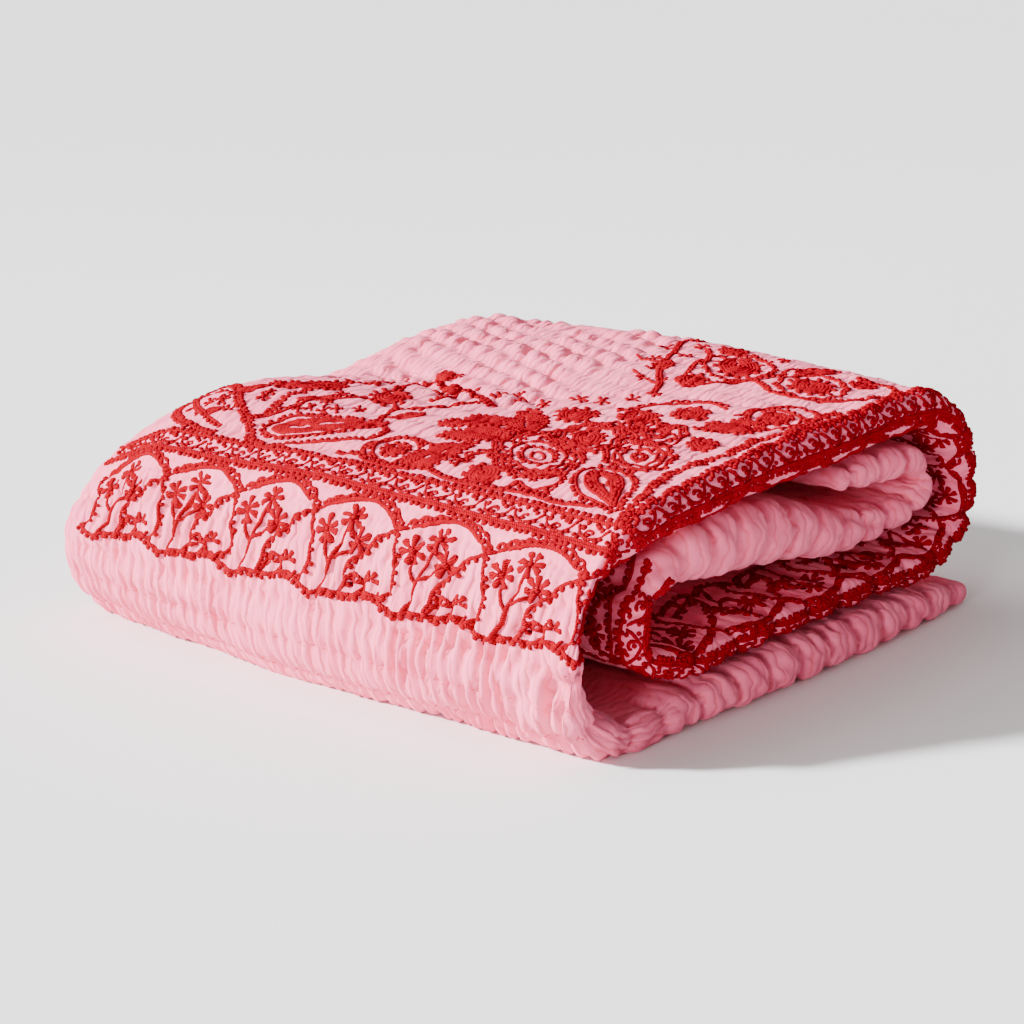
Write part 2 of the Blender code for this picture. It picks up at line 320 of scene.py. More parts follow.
def cells(s, v, warp):
    """Height of the puffed cells between the slanted rows of the plain top."""
    row = (s - SLANT * v + 0.003 * warp) / math.hypot(1, SLANT) / ROW_GAP
    shift = CELL_SHIFT * np.floor(row)
    cell = np.abs(np.sin(np.pi * ((v - 0.1 * s + 0.007 * warp) / CELL_PERIOD + shift)))
    return CELL_DEPTH * (np.sin(np.pi * (row - np.floor(row))) ** 0.6 * cell**0.5 - 0.75)


def creases(s, v):
    depth = 0.0
    for seed, turn, strength in CREASES:
        along = s * math.cos(turn) + v * math.sin(turn)
        beside = v * math.cos(turn) - s * math.sin(turn)
        fold = lumps(beside, along, CREASE_WIDTH, CREASE_LENGTH, seed) + layered(s, v, CREASE_STRAY)
        depth += strength * np.exp(-((np.abs(fold) / 0.2) ** 2))
    return depth


def relief(s, v):
    """The cloth's own surface over the plain layer: puckers, stitch dimples, lumps and creases."""
    face, top = face_and_top(s)
    loose, plain = loose_share(s), plain_share(s, v)
    _, gap, share = row_share(s)
    warp = layered(s, v, WARP)
    uneven = 0.85 + layered(s, v, UNEVEN)
    rib = ridges((v + RIB_LEAN * (s - PLACE["left_belly"]) * face + RIB_WARP * warp) / RIB_PERIOD)
    deeper = 1 + bump(v, *DEEPER_V) * bump(s, *DEEPER_S)
    height = -RIB_DEPTH * rib * uneven * (face * deeper + TOP_RIBS * top) - troughs(s, v)
    height += (cells(s, v, warp) * uneven + groove(s)) * plain
    near_row = np.exp(-((np.minimum(share, 1 - share) * gap / ROW_REACH) ** 2))
    height -= ROW_DEPTH * near_row * (0.25 + 0.75 * rib) * (face + 0.4 * top * (1 - plain))
    height -= (LOOSE_ROW_DEPTH * near_row + gathers(s, v, share)) * loose
    height += layered(s, v, UNEVENNESS) - creases(s, v)
    return np.maximum(height, groove(s) - PUCKER_LIMIT * spline("thick_front", s)[0])


def place(s, y, along, across, edge, lift):
    """Points of the layer: s along the middle line, y of the section's centre there, the direction from
    it along Y and across the layer, and the lift off the half thickness."""
    at = {name: spline(name, s) for name in COLUMNS}
    half = np.where(np.isnan(edge), thickness(at, y), edge) - groove(s) + lift
    y_front, y_back = at["y_front"][0], at["y_back"][0]
    share = np.clip((y - y_front) / (y_back - y_front), 0, 1)
    y = y + half * along
    stations = (FRONT_Y, MIDDLE_Y, REAR_Y, BACK_Y)
    rise, run = across_y(at, HEIGHTS, 1, y, stations), at["x"][1]
    size = np.hypot(run, rise)
    x = at["x"][0] - rise / size * half * across + at["shift"][0] * np.clip(y / BACK_Y, 0, 1) ** 2
    z = across_y(at, HEIGHTS, 0, y, stations) + run / size * half * across
    y = y + at["tuck"][0] * (1 - across) / 2 * (1 - share) ** 2
    return np.stack([x - CENTRE_X, y - CENTRE_Y, np.maximum(z, 0.0)], axis=-1)


def front_edge(s):
    """y of the front edge, and the half thickness there."""
    at = {name: spline(name, s) for name in ("y_front",) + THICKNESSES}
    y_front = at["y_front"][0]
    return y_front, thickness(at, y_front)


def surface(s, v, lift=0.0):
    """Points of the cloth at (s, v), raised by lift."""
    y_front, edge = front_edge(s)
    arc = np.pi / 2 * edge
    turn = np.clip(np.abs(v) / edge, 0, np.pi / 2)
    round_edge = np.abs(v) < arc
    side = np.where(v < 0, -1.0, 1.0)
    along = np.where(round_edge, -np.cos(turn), 0.0)
    across = np.where(round_edge, np.sin(turn), 1.0) * side
    y = y_front + edge + np.maximum(np.abs(v) - arc, 0)
    return place(s, y, along, across, np.where(round_edge, edge, np.nan), relief(s, v) + lift)


def surface_and_normal(s, v):
    """Points of the cloth at (s, v) and the direction out of the cloth there."""
    step, up = 0.0012, 0.001
    points = surface(s, v)
    along_s = surface(s + step, v) - surface(s - step, v)
    along_v = surface(s, v + step) - surface(s, v - step)
    normal = np.cross(along_s, along_v)
    normal /= np.linalg.norm(normal, axis=-1)[..., None]
    outward = ((surface(s, v, up) - points) * normal).sum(axis=1)
    return points, normal * np.where(outward < 0, -1.0, 1.0)[:, None]


# The outer side's own length from the lower line of the left border, for charts in true millimetres.

BORDER_S, CHART_V, CHART_FROM, CHART_TO = 0.686, 0.2, 0.45, 1.86
CHART_STEP, LONGEST_CHART_STEP = 0.001, 0.0022


def outer_lengths():
    s = np.arange(CHART_FROM, CHART_TO, CHART_STEP)
    y = np.full_like(s, FRONT_Y + CHART_V)
    points = place(s, y, np.zeros_like(s), np.ones_like(s), np.full_like(s, np.nan), 0.0)
    steps = np.minimum(np.linalg.norm(np.diff(points, axis=0), axis=1), LONGEST_CHART_STEP)
    u = np.concatenate([[0.0], np.cumsum(steps)])
    return s, u - np.interp(BORDER_S, s, u)


CHART_S, CHART_U = outer_lengths()


def chart_s(u):
    """The distance along the middle line at u metres along the outer side."""
    return np.interp(u, CHART_U, CHART_S)


# The cloth mesh: fine rings on few lines round the hidden parts, and many lines on the faces that show.

SHOWN_FROM, SHOWN_TO = 0.47, 1.28
SHOWN_STEP, HIDDEN_STEP = 0.0044, 0.0029
OUTER_LINES, INNER_LINES, EDGE_LINES = 240, 80, 6
FRONT_SHARE, FRONT_EVERY, FAR_EVERY = 0.15, 2, 10
END_RINGS, END_GAP, LEAST_THICKNESS = 5, 0.003, 0.10


def cloth_rings():
    """Distances of the rings, the share of the thickness left at each, and whether it shows."""
    first, last = END_LENGTH * TABLE["thick_front"][0][0], END_LENGTH * TABLE["thick_front"][0][-1]
    before = np.arange(first + END_GAP, SHOWN_FROM, HIDDEN_STEP)
    shown = np.arange(SHOWN_FROM, SHOWN_TO, SHOWN_STEP)
    after = np.arange(SHOWN_TO, LENGTH - last - END_GAP, HIDDEN_STEP)
    turn = np.linspace(0, np.pi / 2, END_RINGS + 1)[1:]
    start, end = first * (1 - np.sin(turn)), LENGTH - last * (1 - np.sin(turn))
    s = np.concatenate([start[::-1], [first], before, shown, after, [LENGTH - last], end])
    left = np.concatenate([np.cos(turn)[::-1], np.ones(len(s) - 2 * END_RINGS), np.cos(turn)])
    return s, np.maximum(left, LEAST_THICKNESS), (s >= SHOWN_FROM - 1e-9) & (s < SHOWN_TO)


def cloth_lines():
    """Lines round the section: share from front to back, turn along the edge arcs, side, whether the
    line is on every ring, and whether it is on the rings where the outer side shows."""
    outer = np.linspace(1, 0, OUTER_LINES)
    inner = np.linspace(0, 1, INNER_LINES)
    arc = np.linspace(0, np.pi, 2 * EDGE_LINES + 1)[1:-1]
    rows = [(share, 0.0, 1.0, 1.0) for share in outer]
    rows += [(0.0, -np.sin(turn), np.cos(turn), 0.0) for turn in arc]
    rows += [(share, 0.0, -1.0, 1.0) for share in inner]
    rows += [(1.0, np.sin(turn), -np.cos(turn), 0.0) for turn in arc]
    share, along, across, flat = np.array(rows).T
    index = np.arange(len(rows))
    near = (share < FRONT_SHARE) | (share > 1 - FRONT_SHARE / 4)
    always = (flat == 0) | (near & (index % FRONT_EVERY == 0)) | (index % FAR_EVERY == 0)
    always |= (share == 0) | (share == 1)
    return share, along, across, always, always | (across == 1)


def cloth_points():
    """Every point of the mesh, and where it is on its ring and line."""
    s_rings, left_rings, shown = cloth_rings()
    share, along, across, always, when_shown = cloth_lines()
    used = np.where(shown[:, None], when_shown[None, :], always[None, :])
    ring, line = np.nonzero(used)
    s, left = s_rings[ring], left_rings[ring]
    share, along, across = share[line], along[line], across[line]
    y_front, edge_front = front_edge(s)
    at = {name: spline(name, s) for name in ("y_back",) + THICKNESSES}
    y_back = at["y_back"][0]
    edge_back = thickness(at, y_back)
    flat = y_back - y_front - edge_front - edge_back
    y = y_front + edge_front + share * flat
    turned = np.arctan2(np.abs(along), np.abs(across))
    side = np.where(across < 0, -1.0, 1.0)
    v_front = (np.pi / 2 - turned) * edge_front
    v_back = np.pi / 2 * edge_front + share * flat + turned * edge_back * (along > 0)
    v = side * np.where(along < 0, v_front, v_back)
    edge = np.where(along < 0, edge_front, np.where(along > 0, edge_back, np.nan))
    half = np.where(along != 0, edge, thickness(at, y))
    fade = 1 - np.where(along > 0, np.sin(turned), 0)
    lift = relief(s, v) * left * fade - (1 - left) * (half - groove(s))
    return place(s, y, along, across, edge, lift), s, v, used


def new_object(name, vertices, faces, material):
    mesh = bpy.data.meshes.new(name)
    mesh.from_pydata(vertices, [], faces)
    mesh.materials.append(material)
    mesh.shade_smooth()
    obj = bpy.data.objects.new(name, mesh)
    bpy.context.scene.collection.objects.link(obj)
    return obj


def attribute(obj, name, kind, key, values):
    data = obj.data.attributes.new(name, kind, "POINT").data
    data.foreach_set(key, values.astype(np.float32).ravel())


def strip_faces(low, high):
    """Faces between two rings of vertex numbers, where -1 marks a line that a ring leaves out."""
    shared = np.nonzero((low >= 0) & (high >= 0))[0].tolist()
    low, high, count = low.tolist(), high.tolist(), len(low)
    faces = []
    for here, following in zip(shared, shared[1:] + [shared[0] + count]):
        run = range(here, following + 1)
        below = [low[k % count] for k in run if low[k % count] >= 0]
        above = [high[k % count] for k in run if high[k % count] >= 0]
        faces.append(below + above[::-1])
    return faces


def build_cloth(material):
    points, s, v, used = cloth_points()
    number = np.full(used.shape, -1)
    number[used] = np.arange(used.sum())
    faces = [face for low, high in zip(number, number[1:]) for face in strip_faces(low, high)]
    faces.append(number[0][number[0] >= 0][::-1].tolist())
    faces.append(number[-1][number[-1] >= 0].tolist())
    cloth = new_object("quilt_cloth", points.tolist(), faces, material)
    attribute(cloth, "chart", "FLOAT_VECTOR", "vector", np.stack([s, v, np.zeros(s.size)], axis=1))
    attribute(cloth, "loose", "FLOAT", "value", loose_share(s))
    return cloth


# Materials.

# PINK_DEEP and PINK_PALE are the cloth's own cloudy tone; the third colour is painted shade, laid into the
# valleys of the wrinkles.
PINK_DEEP, PINK_PALE, VALLEY_PAINTED_SHADE = (0.84, 0.118, 0.235), (0.94, 0.175, 0.30), (0.90, 0.66, 0.66)
# The deeper thread colour is painted shade in the grooves of the twist.
THREAD_GROOVE_SHADE, THREAD_PALE = (0.76, 0.085, 0.165), (0.86, 0.12, 0.22)
# The deeper wool colour is painted shade between the twisted strands.
WOOL_GROOVE_SHADE, WOOL_PALE = (0.15, 0.0, 0.004), (0.36, 0.0, 0.010)
WHITE = (1.0, 1.0, 1.0)
# Scales of the cloth's weave, crinkle and cloudy colour, and of the wrinkles on the faces and in the folds.
WEAVE_SCALE, CRINKLE_SCALE, CLOUD_SCALE = 420.0, 260.0, 22.0
RIB_SCALE, GATHER_SCALE = 40.0, 30.0
# Strength and depth of each bump, in metres.
WRINKLE_BUMP, WEAVE_BUMP = (0.62, 0.0015), (0.5, 0.0006)
THREAD_BUMP, WOOL_BUMP = (0.5, 0.0002), (0.6, 0.0005)


def add(tree, kind, inputs, **settings):
    """A new node with its settings; each of its inputs gets a value or a link from another node."""
    node = tree.nodes.new("ShaderNode" + kind)
    node.location = (-220 * len(tree.nodes), 0)
    for key, value in settings.items():
        setattr(node, key, value)
    for key, value in inputs.items():
        if isinstance(value, bpy.types.NodeSocket):
            tree.links.new(value, node.inputs[key])
        else:
            node.inputs[key].default_value = value
    return node


def chart_of(tree, name):
    return add(tree, "Attribute", {}, attribute_name=name).outputs["Vector"]


def noise(tree, chart, scale, detail):
    return add(tree, "TexNoise", {"Vector": chart, "Scale": scale, "Detail": detail}).outputs["Fac"]


def bands(tree, chart, direction, **inputs):
    """Waves across a direction of the chart."""
    inputs = {"Vector": chart, **{key.replace("_", " "): value for key, value in inputs.items()}}
    node = add(tree, "TexWave", inputs, wave_type="BANDS", bands_direction=direction)
    return node.outputs["Fac"]


def combine(tree, operation, *values):
    return add(tree, "Math", dict(enumerate(values)), operation=operation).outputs[0]


def ramp(tree, factor, *stops):
    """A colour that changes with a factor; each stop is a position and a colour."""
    node = add(tree, "ValToRGB", {"Fac": factor})
    for element, (position, colour) in zip(node.color_ramp.elements, stops):
        element.position, element.color = position, (*colour, 1)
    return node.outputs["Color"]


def raised(tree, height, bump_by, normal=None):
    inputs = {"Height": height, "Strength": bump_by[0], "Distance": bump_by[1]}
    if normal:
        inputs["Normal"] = normal
    return add(tree, "Bump", inputs).outputs["Normal"]


def roughness(tree, factor, low, high):
    inputs = {"Value": factor, "To Min": low, "To Max": high}
    return add(tree, "MapRange", inputs).outputs["Result"]


def base_material(name):
    material = bpy.data.materials.new(name)
    material.use_nodes = True
    tree = material.node_tree
    return material, tree, tree.nodes["Principled BSDF"]


def connect(tree, shader, colour, normal=None, rough=None, **constants):
    """Connects the shader and sets its constant values."""
    for key, output in (("Base Color", colour), ("Normal", normal), ("Roughness", rough)):
        if output:
            tree.links.new(output, shader.inputs[key])
    for key, value in constants.items():
        shader.inputs[key.replace("_", " ")].default_value = value


def cloth_material():
    """Pink cotton voile: a fine weave, soft colour changes, painted shade that darkens the valleys of the
    wrinkles, and a faint sheen.
    """
    material, tree, shader = base_material("pink_voile")
    chart = chart_of(tree, "chart")
    cloudy = ramp(tree, noise(tree, chart, CLOUD_SCALE, 5.0), (0.3, PINK_DEEP), (0.7, PINK_PALE))
    threads = [bands(tree, chart, way, Scale=WEAVE_SCALE, Distortion=1.5, Detail=1.0) for way in "XY"]
    crinkle = noise(tree, chart, CRINKLE_SCALE, 4.0)
    weave = combine(tree, "MULTIPLY_ADD", combine(tree, "MULTIPLY", *threads), 0.35, crinkle)
    wrinkles = [
        bands(tree, chart, way, Scale=scale, Distortion=7.0, Detail=2.0, Detail_Scale=1.2)
        for way, scale in (("Y", RIB_SCALE), ("X", GATHER_SCALE))
    ]
    loose = add(tree, "Attribute", {}, attribute_name="loose").outputs["Fac"]
    pick = add(tree, "Mix", {"Factor": loose, 2: wrinkles[0], 3: wrinkles[1]}).outputs[0]
    puffed = combine(tree, "POWER", pick, 0.5)
    normal = raised(tree, weave, WEAVE_BUMP, raised(tree, puffed, WRINKLE_BUMP))
    # Painted shade: the colour is darkened towards the valleys of the wrinkles, where the bump sinks.
    valleys = ramp(tree, puffed, (0.0, VALLEY_PAINTED_SHADE), (0.55, WHITE))
    layers = {"Factor": 1.0, 6: cloudy, 7: valleys}
    shade = add(tree, "Mix", layers, data_type="RGBA", blend_type="MULTIPLY").outputs[2]
    connect(tree, shader, shade, normal, roughness(tree, crinkle, 0.78, 0.95),
            Sheen_Weight=0.08, Sheen_Roughness=0.5, Specular_IOR_Level=0.25)
    return material


def stitch_material():
    """The pink cotton thread of the running stitch, a little deeper than the voile, with painted shade in
    the grooves of its twist.
    """
    material, tree, shader = base_material("pink_thread")
    twist = bands(tree, chart_of(tree, "yarn"), "DIAGONAL", Scale=500.0)
    # Painted shade: the thread is deeper in the grooves of the twist, where the bump sinks.
    colour = ramp(tree, twist, (0.0, THREAD_GROOVE_SHADE), (1.0, THREAD_PALE))
    connect(tree, shader, colour, raised(tree, twist, THREAD_BUMP), Roughness=0.8, Specular_IOR_Level=0.2)
    return material


def wool_material():
    """Red wool yarn in chain stitch: twisted strands, with painted shade, a deeper red, between them."""
    material, tree, shader = base_material("red_wool_yarn")
    chart = chart_of(tree, "yarn")
    twist = bands(tree, chart, "DIAGONAL", Scale=320.0, Distortion=2.0, Detail=2.0)
    fuzz = noise(tree, chart, 500.0, 3.0)
    # Painted shade: the red is deeper in the grooves of the twist, where the bump sinks.
    colour = ramp(tree, twist, (0.1, WOOL_GROOVE_SHADE), (0.75, WOOL_PALE))
    normal = raised(tree, combine(tree, "ADD", twist, fuzz), WOOL_BUMP)
    connect(tree, shader, colour, normal, roughness(tree, fuzz, 0.85, 1.0), Specular_IOR_Level=0.02)
    return material


# Embroidery. Every stroke is drawn in a chart in millimetres and laid on the cloth as a raised form.

THREAD_WIDTH, THREAD_HEIGHT, THREAD_SCALE = 3.0, 1.5, 1.5
DOT_SIZE, DOT_HEIGHT, DOT_SCALE, DOT_SIDES = 5.6, 1.9, 1.3, 6
STITCH_LENGTH, SAMPLE, SINK = 4.2, 1.4, 0.5
# The longest gap that a thread may have between two points, and the last v that carries embroidery.
LONGEST_STEP, BACK_LIMIT = 6 * SAMPLE, 586.0

# A thread's section as shares of its half width and height, and a filled form's dome as shares of its
# outline and height. At height 0 they sink into the cloth.
SECTION = ((-1.0, 0), (-0.62, 0.78), (0.0, 1.0), (0.62, 0.78), (1.0, 0))
DOME = ((1.0, 0), (0.78, 0.62), (0.35, 0.97))
PETAL = (
    (0.0, 0.22), (0.45, 0.36), (0.78, 0.5), (0.97, 0.3),
    (0.97, -0.3), (0.78, -0.5), (0.45, -0.36), (0.0, -0.22),
)


def path_lengths(path):
    """Distances of a path's points from its start."""
    return np.concatenate([[0.0], np.cumsum(np.hypot(*np.diff(path, axis=0).T))])


def smooth_path(points, closed=False):
    """A smooth curve through the points, resampled at even steps."""
    points = np.asarray(points, float)
    if closed:
        padded = np.concatenate([points[-1:], points, points[:2]])
    else:
        first, last = 2 * points[0] - points[1], 2 * points[-1] - points[-2]
        padded = np.concatenate([[first], points, [last]])
    dense = []
    for p0, p1, p2, p3 in zip(padded, padded[1:], padded[2:], padded[3:]):
        t = np.linspace(0, 1, 12, endpoint=False)[:, None]
        bend, twist = 2 * p0 - 5 * p1 + 4 * p2 - p3, 3 * p1 - p0 - 3 * p2 + p3
        dense.append(0.5 * (2 * p1 + (p2 - p0) * t + bend * t**2 + twist * t**3))
    dense = np.concatenate(dense + [padded[-2:-1]])
    lengths = path_lengths(dense)
    even = np.linspace(0, lengths[-1], max(3, int(round(lengths[-1] / SAMPLE)) + 1))
    return np.stack([np.interp(even, lengths, dense[:, k]) for k in (0, 1)], axis=1)


def path_normals(path):
    tangent = np.gradient(path, axis=0)
    tangent /= np.maximum(np.hypot(*tangent.T), 1e-9)[:, None]
    return np.stack([-tangent[:, 1], tangent[:, 0]], axis=1)


def direction(degrees):
    angle = math.radians(degrees)
    return np.array([math.cos(angle), math.sin(angle)])


class Embroidery:
    """One embroidered piece: it collects forms in the chart (u, v) in millimetres. Its inward side is 1
    or -1: where the middle of the work lies beside lines that run along the border."""

    def __init__(self, name, seed, inward=1):
        self.name, self.inward = name, inward
        self.blocks = []
        self.random = np.random.default_rng(seed)

    def form(self, uv, height, yarn):
        """A grid of chart points with heights over the cloth, each row a closed ring."""
        if uv[..., 1].max() <= BACK_LIMIT:
            self.blocks.append((uv, height, yarn))

    def thread(self, path, width=THREAD_WIDTH, height=THREAD_HEIGHT):
        """A line of chain stitch along a path in the chart."""
        path = path[path[:, 1] < BACK_LIMIT]
        if len(path) < 3:
            return
        normals = path_normals(path)
        path = path + self.random.uniform(-0.18, 0.18, (len(path), 1)) * normals
        along = path_lengths(path)
        if np.diff(along).max() > LONGEST_STEP:
            return
        link = np.abs(np.sin(np.pi * along / STITCH_LENGTH + self.random.uniform(0, 3)))
        ends = np.clip(np.minimum(along, along[-1] - along) / (0.5 * width) + 0.35, 0, 1)
        half = (0.5 * THREAD_SCALE * width * (0.80 + 0.20 * link) * ends)[:, None]
        top = (height * (0.72 + 0.28 * link) * ends)[:, None]
        side, level = np.array(SECTION).T
        uv = path[:, None, :] + (half * side)[..., None] * normals[:, None, :]
        heights = np.where(level > 0, top * level, -SINK)
        self.form(uv, heights, np.stack([along[:, None] + 0 * side, half * side, heights], axis=-1))

    def line(self, points, chart, width=THREAD_WIDTH, closed=False, jitter=0.0):
        points = np.asarray(points, float)
        points = points + self.random.uniform(-1, 1, points.shape) * jitter
        path = chart(smooth_path(points, closed))
        self.thread(path, width)
        return path

    def blob(self, outline, height):
        """A raised filled form inside a closed outline in the chart."""
        centre = outline.mean(axis=0)
        uv = np.array([centre + (outline - centre) * scale for scale, _ in DOME])
        level = np.array([level for _, level in DOME])[:, None] * np.ones(len(outline))
        heights = np.where(level > 0, height * level, -SINK)
        self.form(uv, heights, np.concatenate([uv, heights[..., None]], axis=-1))

    def dot(self, at, size=DOT_SIZE, height=DOT_HEIGHT):
        size = size * DOT_SCALE * self.random.uniform(0.85, 1.15)
        turn = np.linspace(0, 2 * np.pi, DOT_SIDES + 1)[:-1] + self.random.uniform(0, 1)
        outline = np.asarray(at) + 0.5 * size * np.stack([np.cos(turn), np.sin(turn)], axis=1)
        self.blob(outline, height)

    def petal(self, base, tip, width, height=1.4):
        """A drop-shaped petal, wider towards its tip."""
        reach = tip - base
        side = np.array([-reach[1], reach[0]]) / max(np.hypot(*reach), 1e-9)
        self.blob(np.array([base + reach * a + side * width * b for a, b in PETAL]), height)

    def picots(self, path, offset, pitch, size=DOT_SIZE):
        """Dots along one side of a path."""
        along, normals = path_lengths(path), path_normals(path)
        for at in np.arange(0.4 * pitch, along[-1], pitch):
            at = at + self.random.uniform(-0.12, 0.12) * pitch
            k = int(np.argmin(np.abs(along - at)))
            self.dot(path[k] + normals[k] * offset * self.random.uniform(0.85, 1.1), size)

    def finish(self, material):
        """Lays the forms on the cloth as one mesh."""
        uv = np.concatenate([block[0].reshape(-1, 2) for block in self.blocks])
        height = np.concatenate([block[1].ravel() for block in self.blocks]) * MM
        yarn = np.concatenate([block[2].reshape(-1, 3) for block in self.blocks]) * MM
        points, normal = surface_and_normal(chart_s(uv[:, 0] * MM), uv[:, 1] * MM)
        vertices = points + normal * height[:, None]
        vertices[:, 2] = np.maximum(vertices[:, 2], 0.0)
        faces, start = [], 0
        for block_uv, _, _ in self.blocks:
            rows, columns = block_uv.shape[:2]
            index = np.arange(rows * columns).reshape(rows, columns) + start
            start += rows * columns
            a, b = index[:-1], index[1:]
            quads = np.stack([a, np.roll(a, -1, axis=1), np.roll(b, -1, axis=1), b], axis=-1)
            faces += quads.reshape(-1, 4).tolist()
            faces += [index[0][::-1].tolist(), index[-1].tolist()]
        obj = new_object(self.name, vertices.tolist(), faces, material)
        attribute(obj, "yarn", "FLOAT_VECTOR", "vector", yarn)
        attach(obj, "root")


def u_at(s):
    """Millimetres along the outer side at millimetres along the middle line."""
    return np.interp(s * MM, CHART_S, CHART_U) / MM


# One arch of the border, in millimetres: a runs along the border from one foot of the arch to the next,
# b runs away from the border band.
CELL = 90.0
CROWN = (
    (0, 28), (5, 24.5), (11, 21.5), (23, 16.5), (36, 12), (49, 9.5), (60, 10), (69, 13.5), (76, 18),
    (83, 23.5), (90, 28),
)
OUTER_CROWN = (
    (4, 21), (9, 17), (14, 16.5), (20, 12), (27, 12), (33, 7.5), (40, 8), (46, 4.5), (54, 5), (60, 4),
    (66, 7), (72, 7), (77, 11.5), (83, 12.5), (86, 18.5), (92, 22),
)
SIDE = ((0, 28), (1, 36), (3, 45), (5, 54), (8.5, 62), (9, 70), (6, 77), (-1, 83), (-5, 85))
DIAGONAL = ((90, 28), (82, 33), (73, 38), (68, 47), (60, 54), (53, 61), (49, 70), (46, 79), (43, 88))
BASE = (
    (-5, 85), (0, 88), (7, 91), (14, 93), (20, 92), (27, 89), (35, 89), (43, 88), (52, 88), (60, 87),
    (68, 84), (76, 83), (85, 85),
)
# Each line of the arch: its width and jitter, and its dots' distance inwards, pitch and size.
ARCH_LINES = (
    (CROWN, 3.4, 0.5, 3.0, 6.0, 4.4),
    (OUTER_CROWN, 2.3, 0.4, -1.2, 7.5, 3.4),
    (SIDE, 2.8, 0.5, 2.6, 8.0, 3.8),
    (DIAGONAL, 2.9, 0.5, 2.8, 7.5, 4.4),
    (BASE, 3.2, 0.4, -3.0, 6.3, 4.6),
)
# The plant's stem and branches, then the hooks beside it.
STEMS = (
    ((21, 91), (27, 80), (30.5, 71), (32.5, 62), (36, 50), (41, 36), (42, 29)),
    ((31, 68), (25, 60), (21, 50), (20, 43)),
    ((32, 63), (41, 57), (48, 51), (53, 45)),
    ((47, 86), (51, 76), (58, 70), (66, 73), (68, 80), (64, 85)),
    ((70, 83), (69, 74), (72, 68)),
    ((70, 82), (75, 86), (82, 85), (86, 79)),
)
STEM_WIDTH, STEM_JITTER, BUD_WIDTH, BUD_SPREAD = 2.7, 0.4, 5.4, 62
# A flower's petals start at this distance from its middle, and its dot has this size and height.
FLOWER_EYE, FLOWER_HEART = 1.6, (4.6, 1.7)
# Flowers and buds: a, b, reach, petals, turn in degrees.
FLOWERS = ((20, 41, 13.5, 7, 10), (42, 27, 13.5, 7, 35), (55, 45, 13.5, 7, 60))
BUDS = ((59, 77, 9.0, 4, 250), (77, 72, 9.0, 4, 270))


def flower(piece, chart, a, b, reach, petals, turn, width=7.0):
    """An open flower: a ring of drop-shaped petals round a dot."""
    for k in range(petals):
        angle = turn + 360 * k / petals + math.degrees(piece.random.uniform(-0.12, 0.12))
        out = direction(angle)
        length = reach * piece.random.uniform(0.88, 1.08)
        base, tip = chart(np.array([[a, b] + out * FLOWER_EYE, [a, b] + out * length]))
        piece.petal(base, tip, width)
    piece.dot(chart(np.array([[a, b]]))[0], *FLOWER_HEART)


def bud(piece, chart, a, b, reach, petals, turn):
    """A few petals that spread one way."""
    for k in range(petals):
        out = direction(turn + BUD_SPREAD * (k - (petals - 1) / 2))
        base, tip = chart(np.array([[a, b], [a, b] + out * reach]))
        piece.petal(base, tip, BUD_WIDTH)


def arch(piece, chart):
    """One arch of the border with its plant."""
    for points, width, jitter, offset, pitch, size in ARCH_LINES:
        path = piece.line(points, chart, width, jitter=jitter)
        piece.picots(path, piece.inward * offset, pitch, size)
    for points in STEMS:
        piece.line(points, chart, STEM_WIDTH, jitter=STEM_JITTER)
    for row in FLOWERS:
        flower(piece, chart, *row)
    for row in BUDS:
        bud(piece, chart, *row)


# The border band, in millimetres: a along the band, b from its lower line to its upper line.
BAND = 24.0
SCROLL_PITCH = 31.0
SCROLL = ((1, 20), (5, 14), (9, 8.5), (15, 6), (20.5, 8.5), (21, 14), (16.5, 16), (13.5, 13))
SCROLL_TAIL = ((21, 8), (26, 12), (30, 19))
SCROLL_DOTS = ((8.5, 18.5), (12, 20), (4.5, 9), (7, 5.5), (25.5, 17.5), (24, 5.5), (28, 8), (17.5, 11))
SCROLL_LINES, SCROLL_DOT = ((SCROLL, 2.6, 0.5), (SCROLL_TAIL, 2.4, 0.4)), 3.8
# Each straight line of the band: its b, width and jitter, in steps along a. Then each row of dots: its
# line, its distance inwards, pitch and size.
BAND_LINES, BAND_STEP = ((0.0, 3.2, 0.5), (2.8, 2.6, 0.3), (BAND, 3.2, 0.5)), 40.0
BAND_DOTS = ((0, 3.2, 6.2, 4.6), (2, -3.2, 6.2, 4.6), (2, 2.6, 8.5, 3.8))


def band(piece, chart, start, end):
    """The border band from start to end along a."""
    places, lines = np.arange(start, end + BAND_STEP, BAND_STEP), []
    for b, width, jitter in BAND_LINES:
        lines.append(piece.line([(a, b) for a in places], chart, width, jitter=jitter))
    for k, offset, pitch, size in BAND_DOTS:
        piece.picots(lines[k], piece.inward * offset, pitch, size)
    for at in np.arange(start, end - SCROLL_PITCH, SCROLL_PITCH):
        moved = lambda points, at=at: chart(np.asarray(points, float) + (at, 0))
        for points, width, jitter in SCROLL_LINES:
            piece.line(points, moved, width, jitter=jitter)
        for spot in SCROLL_DOTS:
            piece.dot(moved([spot])[0], SCROLL_DOT)


def left_chart(v_start):
    """a towards the front from v_start, b down the left face."""
    return lambda points: np.stack([-points[:, 1], v_start - points[:, 0]], axis=1)


def left_band_chart(points):
    return points[:, ::-1]


FRONT_BAND_V = -2.0


def front_band_chart(points):
    return points + (0, FRONT_BAND_V)


def inner_chart(u_start):
    """a along u from u_start, b inwards under the front edge."""
    return lambda points: np.stack([u_start + points[:, 0], FRONT_BAND_V - points[:, 1]], axis=1)


def stretched(s, v, turn, stretch):
    """A chart round (s, v), longer along the direction at turn degrees."""
    axes = np.array([direction(turn) * stretch, direction(turn + 90)])
    return lambda points: (u_at(s), v) + np.asarray(points, float) @ axes


def circle(radius, count, scallops=0, depth=0.0):
    """Points round a circle, with scallops."""
    turn = 2 * np.pi * np.arange(count) / count
    reach = radius * (1 + depth * np.sin(scallops * turn))
    return np.stack([reach * np.cos(turn), reach * np.sin(turn)], axis=1)


